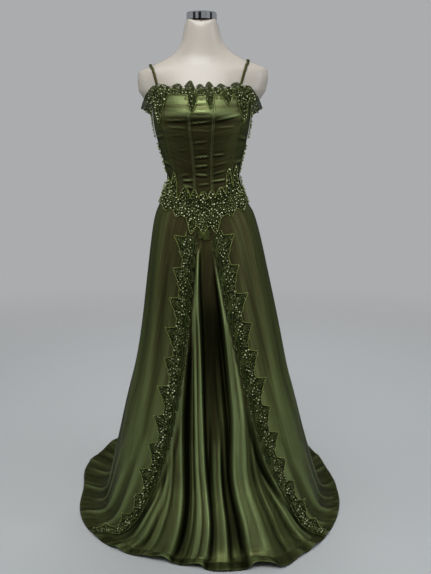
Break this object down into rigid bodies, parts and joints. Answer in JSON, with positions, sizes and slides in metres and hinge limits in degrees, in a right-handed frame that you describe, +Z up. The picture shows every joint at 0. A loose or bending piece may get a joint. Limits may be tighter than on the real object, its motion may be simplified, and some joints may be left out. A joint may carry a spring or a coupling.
{
  "type": "prom dress on a dress form",
  "caption": "Floor-length satin dress with beaded lace, a pleated front inset and a small train, on a limbless display form with a round base.",
  "frame": {"origin": "on the floor, at the middle of the underside of the stand's base plate", "axes": "+Z up, -Y towards the dress's front, +X towards its right as seen from the front"},
  "size_m": [0.8984, 1.2972, 1.553],
  "materials": {
    "satin": "satin",
    "lace": "matte",
    "zip_metal": "satin",
    "form_shell": "satin",
    "chrome": "polished"
  },
  "bodies": {
    "dress_and_form": {"bodice_centre_front": "satin", "bodice_front_left": "satin", "bodice_front_right": "satin", "bodice_side_left": "satin", "bodice_side_right": "satin", "bodice_back_left": "satin", "bodice_back_right": "satin", "strap_left": "satin", "strap_right": "satin", "skirt_front_left": "satin", "skirt_front_right": "satin", "skirt_back_left": "satin", "skirt_back_right": "satin", "skirt_inset": "satin", "lace_neckline": "lace", "lace_waist": "lace", "lace_side_left": "lace", "lace_side_right": "lace", "lace_edge_left": "lace", "lace_edge_right": "lace", "zip_chain": "zip_metal", "zip_slider": "zip_metal", "form_torso": "form_shell", "neck_cap": "chrome", "stand_pole": "chrome", "stand_base": "form_shell"},
    "zip_pull": {"zip_pull": "zip_metal"}
  },
  "joints": [
    {"name": "zip_pull_hinge", "type": "hinge", "parent": "dress_and_form", "child": "zip_pull", "pos_m": [0, 0.11035, 1.262], "axis": [1, 0, 0], "range_deg": [-10, 150]}
  ]
}
